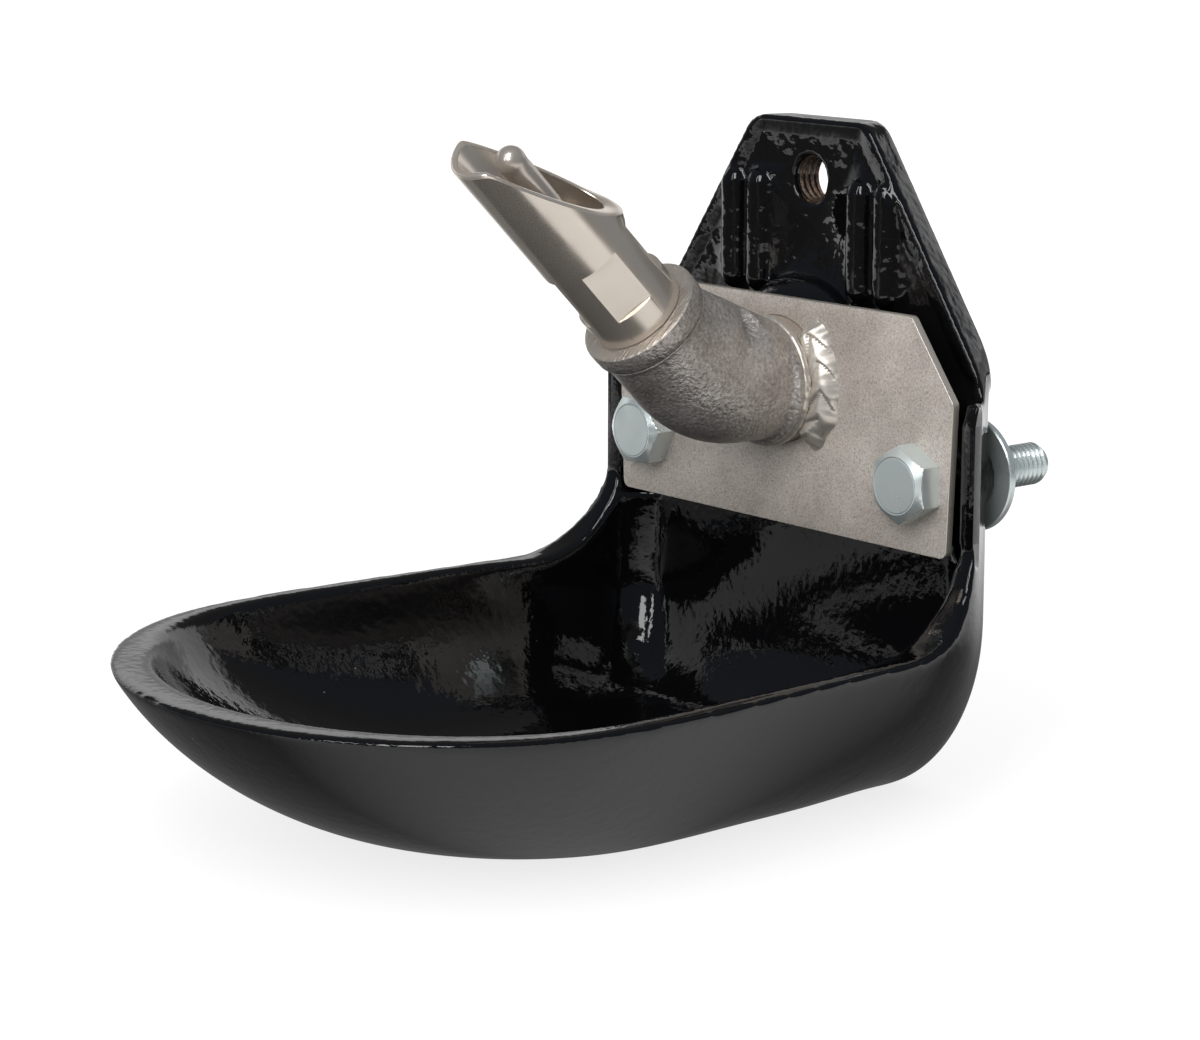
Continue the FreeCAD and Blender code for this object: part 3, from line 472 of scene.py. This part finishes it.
def reshaped(mesh, *modifiers):
    """What modifiers make of a mesh; each is given as its kind and its settings."""
    data = bpy.data.meshes.new("working_form")
    mesh.to_mesh(data)
    mesh.free()
    piece = bpy.data.objects.new("working_form", data)
    bpy.context.scene.collection.objects.link(piece)
    for kind, settings in modifiers:
        modifier = piece.modifiers.new(kind.lower(), kind)
        for key, value in settings.items():
            setattr(modifier, key, value)
    shaped = bpy.data.meshes.new_from_object(piece.evaluated_get(bpy.context.evaluated_depsgraph_get()))
    result = bmesh.new()
    result.from_mesh(shaped)
    bpy.data.objects.remove(piece)
    bpy.data.meshes.remove(shaped)
    return result


def recast(mesh, voxel, rounds):
    """Rebuild a closed form from small even facets and soften its edges, as sand or wax leaves them."""
    even_facets = ("REMESH", {"mode": "VOXEL", "voxel_size": voxel * MM})
    soft_edges = ("SMOOTH", {"factor": 0.5, "iterations": rounds})
    return reshaped(mesh, even_facets, soft_edges)


# The casting

def border_depth(x, z):
    """How far a place on the flange lies inside its outline: top edge, sloping edges, upright edges."""
    top_half_width, half_width = 20.0, 66.0
    slope_run, slope_cosine = 0.69, 0.823
    slope = (top_half_width + (FLANGE_TOP_Z - z) * slope_run - abs(x)) * slope_cosine
    return min(FLANGE_TOP_Z + 1.0 - z, slope, half_width - abs(x))


def flange_relief(x, z):
    """Where the flange's front face stands: a raised border with a sloping flank, and four round ribs."""
    flank_end, flank_width, flank_height = 5.2, 2.9, 0.8
    rib_foot, rib_head, rib_radius, rib_height = 40.2, 62.8, 3.6, 3.2
    flank = min(1.0, max(0.0, (flank_end - border_depth(x, z)) / flank_width))
    face = FLANGE_FACE_Y - flank_height * flank
    for middle in (17.4, 26.4):
        beyond_end = max(0.0, z - rib_head, rib_foot - z)
        off = math.hypot(abs(x) - middle, beyond_end)
        if off < rib_radius:
            face = min(face, FLANGE_FACE_Y - rib_height * math.sqrt(1 - (off / rib_radius) ** 2))
    return face


def casting():
    """Bowl, walls and flange with the soft edges that moulding sand and thick enamel leave."""
    mesh = recast(cad_copy("bowl_casting"), 0.65, 16)
    wall = [vert for vert in mesh.verts if vert.co.z < 24 * MM and vert.co.y < -1 * MM]
    for _ in range(20):
        bmesh.ops.smooth_vert(mesh, verts=wall, factor=0.5, use_axis_x=True, use_axis_y=True, use_axis_z=True)
    land_y, land_middle, land_foot, land_top = -16.7, 62.9, -18.0, 19.0
    seat_ring_radius = 25.5
    for vert in mesh.verts:
        x, y, z = vert.co / MM
        away = math.hypot(x, z - HANGER_Z)
        on_flange = z > 24.5 and -12.5 < y < -6.0
        on_side_wall = land_foot < z < land_top and y < -13.0 and 59.8 < abs(x) < 66.0
        if away < 8.0:
            if y < -6.0:
                y = FLANGE_FACE_Y + 1.2 * max(0.0, 1 - (away - HANGER_RADIUS) / 1.4) ** 2
            grown = max(away, 5.6 + 0.35 * max(0.0, away - HANGER_RADIUS))
            vert.co = Vector((x / away * grown, y, HANGER_Z + (z - HANGER_Z) / away * grown)) * MM
        elif on_flange and border_depth(x, z) > 2.3 and math.hypot(x, z - SOCKET_Z) > seat_ring_radius:
            vert.co.y = flange_relief(x, z) * MM
        elif on_side_wall:
            share = min(1.0, (z - land_foot) / 6.0, (land_top - z) / 4.0)
            land = land_y + 0.6 * ((abs(x) - land_middle) / 3.1) ** 2
            vert.co.y = (y + (land - y) * share) * MM
    wanted_triangles = 190000
    triangles = sum(len(face.verts) - 2 for face in mesh.faces)
    mesh = reshaped(mesh, ("DECIMATE", {"ratio": wanted_triangles / triangles}))
    keep(mesh, "enamelled_casting", "bowl", enamel, ["bowl_casting"], 80.0)


def hanger_thread():
    """The bare M12 thread tapped through the top of the flange."""
    pitch, depth, length = 1.75, 0.8, 7.0
    wall = [(along, HANGER_RADIUS) for along in rings(0.7, length, 0.2)]
    mesh = lathe([(0.0, 6.4), (0.0, 5.75)] + wall + [(length, 6.4)], 120, closed=True)
    threaded(mesh, pitch, depth, -1.5, 8.5, 5.6, inner=True)
    keep(placed(mesh, along_y(0, -7.2, HANGER_Z)), "tapped_hanger_hole", "bowl", bare_iron)


# Plate, socket and screws

def plate():
    """The sheet plate; its sheared edges are bright."""
    mesh = cad_copy("mounting_plate")
    bmesh.ops.dissolve_limit(mesh, angle_limit=math.radians(2), verts=mesh.verts[:], edges=mesh.edges[:])
    sharp = [edge for edge in mesh.edges if len(edge.link_faces) == 2 and edge.calc_face_angle() > 1.2]
    bmesh.ops.bevel(mesh, geom=sharp, offset=0.15 * MM, segments=2, profile=0.5, affect="EDGES", material=-1)
    flat_face, bright_edge = 0.97, 1
    for face in mesh.faces:
        if abs(face.normal.y) < flat_face:
            face.material_index = bright_edge
    keep(mesh, "stainless_plate", "bowl", (sheet, sheared), ["mounting_plate"])


def socket():
    """The half-inch socket, threaded from behind."""
    pitch, depth, length, bore = 1.814, 0.9, 34.0, 9.3
    outside = [
        (0.0, 10.0), (0.0, 14.9), (0.3, SOCKET_RADIUS), (33.2, SOCKET_RADIUS), (length, 14.4), (length, 10.2),
    ]
    wall = [(along, bore) for along in rings(length, 2.0, -0.45)]
    mesh = lathe(outside + wall, 120, closed=True)
    threaded(mesh, pitch, depth, 6.0, 34.5, 10.1, inner=True)
    placed(mesh, along_y(0, SOCKET_FRONT_Y, SOCKET_Z))
    keep(mesh, "threaded_socket", "bowl", turned, ["inlet_socket"])


def screw_set(side, name):
    """One M10 screw with its washer and nut."""
    x = side * SCREW_X
    head_height, face_radius, chamfer_slope = 6.4, 6.75, 0.577
    chamfer = [
        (head_height - chamfer_slope * (radius - face_radius), radius)
        for radius in (face_radius, 7.2, 7.6, 8.0, 8.4, 8.8, 9.25)
    ]
    face = [(head_height, 0.0), (head_height, 6.2), (6.3, 6.45)]
    mesh = lathe(face + chamfer + [(0.25, 9.3), (0.0, 9.05), (0.0, 0.0)], 144)
    six_sided(mesh, 0.0, head_height)
    tightened = Matrix.Rotation(math.radians(32 if side > 0 else 3), 4, "Z")
    placed(mesh, along_y(x, PLATE_FRONT_Y, 0, -1) @ tightened)
    keep(mesh, "hexagon_head_" + name, "bowl", zinc, ["bolt_" + name], 20.0)

    pitch, depth = 1.5, 0.95
    shank = [(along, 5.0) for along in rings(17.0, 39.2, 0.25)]
    mesh = lathe([(0.0, 0.0), (0.0, 5.0)] + shank + [(40.0, 4.1), (40.0, 0.0)], 64)
    threaded(mesh, pitch, depth, 16.0, 40.6, 4.5)
    keep(placed(mesh, along_y(x, PLATE_FRONT_Y, 0)), "screw_shank_" + name, "bowl", zinc)

    washer = [(0.0, 5.25), (0.0, 13.2), (0.3, 13.5), (1.6, 13.5), (2.0, 13.1), (2.0, 5.6), (1.7, 5.25)]
    mesh = placed(lathe(washer, 144, closed=True), along_y(x, 0, 0))
    keep(mesh, "wide_washer_" + name, "bowl", zinc, ["washer_" + name])

    nut_y, nut_height = 2.0, 5.0
    chamfer_height, flat_radius, chamfer_width = 0.95, 7.55, 1.75
    top = [
        (nut_height - chamfer_height * share, flat_radius + chamfer_width * share)
        for share in (1.0, 0.8, 0.6, 0.45, 0.3, 0.15, 0.0)
    ]
    foot = [
        (1.0 - chamfer_height * share, 9.3 - chamfer_width * share)
        for share in (1.0, 0.8, 0.6, 0.4, 0.2, 0.0)
    ]
    mesh = lathe([(0.0, 5.05), (0.0, 7.2)] + foot + top + [(nut_height, 5.6), (4.6, 5.05)], 144, closed=True)
    six_sided(mesh, 0.0, nut_height)
    keep(placed(mesh, along_y(x, nut_y, 0)), "low_nut_" + name, "bowl", zinc, ["nut_" + name])


# Elbow and welds

def elbow_hollow(x, y, z):
    """Where a point of the elbow's skin goes as its sides sink beside the parting ridge, or None."""
    bend_radius, neck_radius, sunk_share = 22.0, 13.7, 0.6
    bend_y, bend_z = -41.0 + 9.11, SOCKET_Z + bend_radius
    turn = math.degrees(math.atan2(bend_y - y, bend_z - z))
    if not -12 < turn < 52 or z <= 22:
        return None
    swing = math.radians(min(45.0, max(0.0, turn)))
    hub = Vector((0, bend_y - bend_radius * math.sin(swing), bend_z - bend_radius * math.cos(swing)))
    arm = Vector((x, y, z)) - hub
    if arm.length <= neck_radius:
        return None
    side = min(1.0, max(0.0, (abs(x) - 1.0) / 6.0))
    side = side * side * (3 - 2 * side)
    ends = min(1.0, max(0.0, (turn + 12) / 32)) * min(1.0, max(0.0, (52 - turn) / 24))
    left = (arm.length - neck_radius) * (1 - side * ends * sunk_share)
    return hub + arm * ((neck_radius + left) / arm.length)


def elbow():
    """The investment-cast elbow with a band and a filed face at its mouth."""
    mesh = recast(cad_copy("pipe_elbow"), 0.5, 5)
    inward = elbow_frame.inverted()
    for vert in mesh.verts:
        sunk = elbow_hollow(*(vert.co / MM))
        if sunk is not None:
            vert.co = sunk * MM
        local = inward @ vert.co / MM
        radius = math.hypot(local.x, local.y)
        if local.z > -5.6 and 12.0 < radius:
            slim = min(radius, 13.1)
            under_band = Vector((local.x / radius * slim, local.y / radius * slim, min(local.z, -0.4)))
            vert.co = elbow_frame @ (under_band * MM)
    keep(mesh, "cast_elbow", "bowl", cast, ["pipe_elbow"], 60.0)

    groove = [(-6.2, 13.0), (-6.2, 14.1), (-5.5, 14.35), (-5.3, 14.25), (-5.2, 13.95), (-5.0, 13.95)]
    rim = [(-4.9, 14.45), (-4.6, 14.65), (-2.5, 14.75), (-0.8, 14.72), (-0.3, 14.6), (-0.05, 14.25)]
    mouth = [(0.0, 13.9), (0.0, 11.3), (-0.6, 10.5), (-2.0, 10.4), (-2.0, 13.0)]
    mesh = placed(lathe(groove + rim + mouth, 192, closed=True), elbow_frame)
    out = elbow_frame.to_3x3() @ Vector((0, 0, 1))
    for face in mesh.faces:
        at_mouth = (inward @ face.calc_center_median()).z > -1 * MM
        face.material_index = 1 if face.normal.dot(out) > 0.5 and at_mouth else 0
    keep(mesh, "turned_mouth_band", "bowl", (cast, band))


def weld_bead():
    """The thin bead over the joint of elbow and socket."""
    half = [(0.2, 15.75), (0.65, 15.55), (0.95, 15.2), (1.0, 14.6)]
    section = [(-along, radius) for along, radius in half[::-1]] + half
    mesh = lathe(section, 240, closed=True)
    for vert in mesh.verts:
        radius = math.hypot(vert.co.x, vert.co.y)
        if radius > 15.0 * MM:
            turn = math.atan2(vert.co.y, vert.co.x)
            ripple = 0.03 * math.sin(turn * 58 + 900 * abs(vert.co.z))
            lump = 0.3 * noise.noise(Vector((math.cos(turn), math.sin(turn), 0)) * 7)
            vert.co *= 1 + (ripple + lump) * MM / radius
    placed(mesh, along_y(0, SOCKET_FRONT_Y, SOCKET_Z))
    keep(mesh, "elbow_weld_bead", "bowl", welded, ["elbow_bead"], 70.0)


def plate_welds(side, name):
    """The broad fillet between socket and plate on one side: scales of weld pool laid one over the next."""
    inner, width, rise, scale_angle = 14.8, 6.3, 3.3, 21
    low, high = math.radians(-50), math.radians(52)
    mesh = bmesh.new()
    points = []
    for index in range(19):
        across = index / 18
        radius = (inner + width * across) * MM
        front = -rise * (1 - across ** 2.2) * MM
        points.append(mesh.verts.new((radius * math.cos(low), front, radius * math.sin(low))))
    edges = [mesh.edges.new(pair) for pair in zip(points, points[1:])]
    made = bmesh.ops.spin(mesh, geom=points + edges, cent=(0, 0, 0), axis=(0, -1, 0), angle=high - low,
                          steps=260)
    last = [item for item in made["geom_last"] if isinstance(item, bmesh.types.BMVert)]
    bmesh.ops.contextual_create(mesh, geom=points)
    bmesh.ops.contextual_create(mesh, geom=last)
    for vert in mesh.verts:
        radius = math.hypot(vert.co.x, vert.co.z) / MM
        turn = math.atan2(vert.co.z, vert.co.x)
        across = min(1.0, max(0.0, (radius - inner) / width))
        fade = math.sqrt(min(1.0, max(0.0, min(turn - low, high - turn) / 0.14)))
        drift = noise.noise(Vector((turn * 2.5, across, 11 + side)))
        arrow = (math.degrees(turn) + 44 * abs(across - 0.5) ** 1.2) / scale_angle + 0.25 * drift
        crest = math.sin(math.pi * across) ** 0.5
        fold = 0.85 * math.sin(math.pi * (arrow % 1.0) ** 0.5) * crest
        fine = 0.03 * math.sin(2 * math.pi * 5 * arrow) * crest
        lump = 0.25 * noise.noise(Vector((turn * 3, across, side)))
        vert.co.y = (vert.co.y - (fold + fine + lump) * MM) * (0.2 + 0.8 * fade)
        broad = 1.1 * noise.noise(Vector((turn * 4, 3, side)))
        narrow = 0.25 * noise.noise(Vector((turn * 11, 7, side)))
        reach = 1 + (broad + narrow + 0.3 - 1.6 * (1 - fade)) * across / radius
        vert.co.x *= reach
        vert.co.z *= reach
    placed(mesh, Matrix.Translation((0, -17.45 * MM, SOCKET_Z * MM)) @ Matrix.Diagonal((side, 1, 1, 1)))
    keep(mesh, "plate_weld_" + name, "bowl", welded, ["plate_weld_" + name], 70.0)


# The bite valve

def mouth_height(x, y):
    """How far along the valve its wall reaches: an oblique mouth that runs over softly into the tip."""
    tip, softness = 59.0, 2.5
    plane = VALVE_HEEL + (VALVE_RADIUS - y) * MOUTH_SLOPE
    gap = plane - tip
    return plane - (gap + math.sqrt(gap * gap + softness)) / 2


def valve():
    """The turned body: shank, four milled flats and a tube opened along one side with a rounded lip."""
    flat, flat_low, flat_high = 10.25, 7.6, 22.6
    skirt_start, lip_start, lip_width, lip_round, heel_swell = 23.0, 30.0, 1.9, 0.55, 0.075
    skirt_drops, skirt_share = (6.0, 3.5, 2.0, 1.0, 0.4, 0.0), 0.999
    outer = [(0.0, 10.4), (0.0, 11.0)]
    outer += [(along, VALVE_RADIUS) for along in (0.25, 7.45, 7.62, 22.58, 22.62)]
    skirt = [(skirt_start + index, VALVE_RADIUS) for index in range(6)]
    lip = [(lip_start + index, VALVE_RADIUS - lip_width * index / 10) for index in range(11)]
    bore = [(50.0, 9.4), (19.9, 9.4), (19.3, 9.1), (19.0, 8.5)]
    web = [(19.0, 5.1), (18.7, 4.6), (16.0, 4.6), (16.0, 8.0)]
    shank = [(-11.6, 8.0), (-12.0, 8.4), (-12.0, 10.0), (-11.4, 10.32), (-0.1, 10.32)]
    mesh = lathe(outer + skirt + lip + bore + web + shank, 288, closed=True)
    for vert in mesh.verts:
        x, y, along = vert.co / MM
        radius = math.hypot(x, y)
        steep = math.hypot(1, MOUTH_SLOPE * x / VALVE_RADIUS)
        heel_side = max(0.0, y / VALVE_RADIUS) ** 2
        swell = 1.0
        if flat_low < along < flat_high and radius > 10.0:
            vert.co.x = min(flat, max(-flat, x)) * MM
            vert.co.y = min(flat, max(-flat, y)) * MM
        elif skirt_start - 0.1 < along < 29.5 and radius > 11.0:
            down = skirt_drops[round(along - skirt_start)]
            edge = mouth_height(x, y) - lip_round * steep - down * skirt_share
            vert.co.z = max(edge, 22.75 + 0.08 * (along - skirt_start)) * MM
            swell += heel_swell * math.exp(-((edge - 24.5) / 4) ** 2) * math.exp(-down / 1.6) * heel_side
        elif lip_start - 0.1 < along < 40.1:
            share = (along - lip_start) / 10
            dip = lip_round * steep * (1 - math.sqrt(max(0.0, 1 - (2 * share - 1) ** 2)))
            vert.co.z = (mouth_height(x, y) - dip) * MM
            swell += heel_swell * (1 - share) * math.exp(-((vert.co.z / MM - 25.0) / 4) ** 2) * heel_side
        elif along > 45:
            vert.co.z = (mouth_height(x, y) - 0.8) * MM
        vert.co.x *= swell
        vert.co.y *= swell
    placed(mesh, valve_frame)
    keep(mesh, "bite_valve_body", "bowl", nozzle, ["valve_body"], 25.0)


def pin():
    """The pin the animal pushes: ball end, shaft, closing flange and spring spigot."""
    ball_centre, ball_radius, neck_start = 51.5, 3.5, 49.2
    turns = [math.radians(turn) for turn in range(0, 114, 6)]
    ball = [(ball_centre + ball_radius * math.cos(turn), ball_radius * math.sin(turn)) for turn in turns]
    shaft = [(49.0, 3.25), (48.0, 3.3), (44.0, 3.3), (30.0, 3.1), (13.8, 3.0)]
    flange = [(13.8, 6.8), (13.6, 7.0), (12.0, 7.0), (11.8, 6.8)]
    spigot = [(11.8, 2.0), (9.1, 2.0), (8.8, 1.7), (8.8, 0.0)]
    mesh = lathe([point for point in ball if point[0] > neck_start] + shaft + flange + spigot, 96)
    placed(mesh, valve_frame)
    keep(mesh, "bite_pin_turned", "pin", polished, ["bite_pin"], 30.0)


# The scene

bpy.context.scene.view_settings.view_transform = "Standard"
face_place = Matrix.Translation([v * MM for v in ELBOW_FACE])
elbow_frame = face_place @ Matrix.Rotation(math.radians(ELBOW_ANGLE), 4, "X")
valve_frame = elbow_frame @ Matrix.Rotation(math.radians(VALVE_TURN), 4, "Z")
photo_camera()
paper_floor()
studio_room()
softbox("front_softbox", (0.45, -0.80, 0.70), (0, -0.06, 0), 0.28, 1.0, 6.0)
softbox("front_strip", (0.10, -1.00, 0.62), (0, -0.06, 0), 0.1, 1.0, 2.0)

enamel = black_enamel()
bare_iron = rusty_iron()
sheet = pickled_sheet()
# Stainless sheet cut on a shear: a bright edge with a fine torn grain
sheared = bright_steel("sheared_stainless_edge", "#d8d0c6", 0.3, 1600.0, 0.05)
cast = cast_stainless()
# Cast stainless dressed with a file: bright and flat, crossed by slanting scratches 0.7 mm apart
band = turned_face("filed_elbow_face", "#bdb4aa", elbow_frame, 0.36, 0.6, True)
# Turned stainless as it leaves the lathe: a warm satin shine
turned = bright_steel("turned_stainless_socket", "#c3b9ae", 0.25, 700.0, 0.012)
# Turned and tumbled stainless: a soft, light shine in long bands with hardly any tool marks
nozzle = turned_face("turned_valve_stainless", "#ded4c8", valve_frame, 0.21, 0.006)
# Polished stainless: round, clear highlights with next to no grain
polished = bright_steel("polished_stainless_pin", "#c9c0b6", 0.26, 900.0, 0.01)
# Stainless weld metal, brushed clean: bright, pale and broken by its ripples
welded = bright_steel("stainless_weld_metal", "#d6cfc5", 0.32, 1400.0, 0.05)
# Zinc plate with a clear passivation: a pale, bluish satin skin
zinc = bright_steel("bright_zinc_plate", "#e2ebea", 0.32, 800.0, 0.02)
# Drawn stainless wire: a plain grey shine
wire = bright_steel("drawn_spring_wire", "#bdb8b2", 0.25)
# Moulded nitrile rubber, dull black, and moulded acetal, dull white
rubber = moulded("seal_rubber", "#1b1b1b", 0.6)
plastic = moulded("white_moulded_plastic", "#d8d6cf", 0.45)

inside = {
    "seal_ring": rubber,
    "closing_spring": wire,
    "spring_carrier": turned,
    "flow_disc": plastic,
    "inlet_strainer": plastic,
}
for name, node in nodes.items():
    node.data.materials.clear()
    node.data.materials.append(inside.get(name, zinc))

casting()
hanger_thread()
plate()
socket()
elbow()
weld_bead()
valve()
pin()
for side, name in ((-1, "left"), (1, "right")):
    plate_welds(side, name)
    screw_set(side, name)
